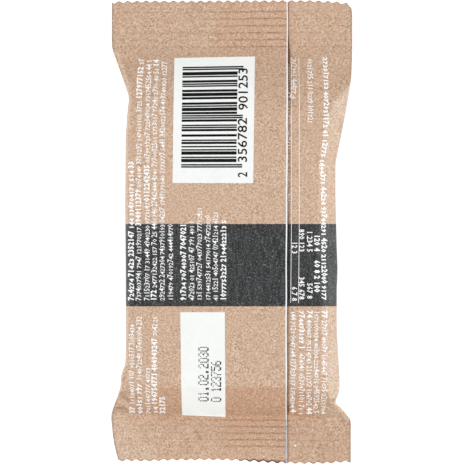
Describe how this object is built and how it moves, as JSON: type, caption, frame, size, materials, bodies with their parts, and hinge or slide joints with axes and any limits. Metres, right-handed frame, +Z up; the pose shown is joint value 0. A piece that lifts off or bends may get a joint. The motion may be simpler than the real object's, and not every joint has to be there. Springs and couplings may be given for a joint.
{
  "type": "wrapped protein bar",
  "caption": "Snack bar shut in a flow-wrapped film pack with crimped, scalloped end seals and a folded fin seal, lying on its front.",
  "frame": {"origin": "centre of the pack's footprint, on the surface that it lies on", "axes": "+Y along the pack, +X across it towards the fin's free edge, +Z up out of the back of the pack"},
  "size_m": [0.0662, 0.1262, 0.0124],
  "materials": {
    "film_kraft": "matte",
    "print_charcoal": "matte",
    "print_white": "matte",
    "print_black": "matte"
  },
  "bodies": {
    "root": {"wrapped_bar": "film_kraft"}
  },
  "joints": []
}
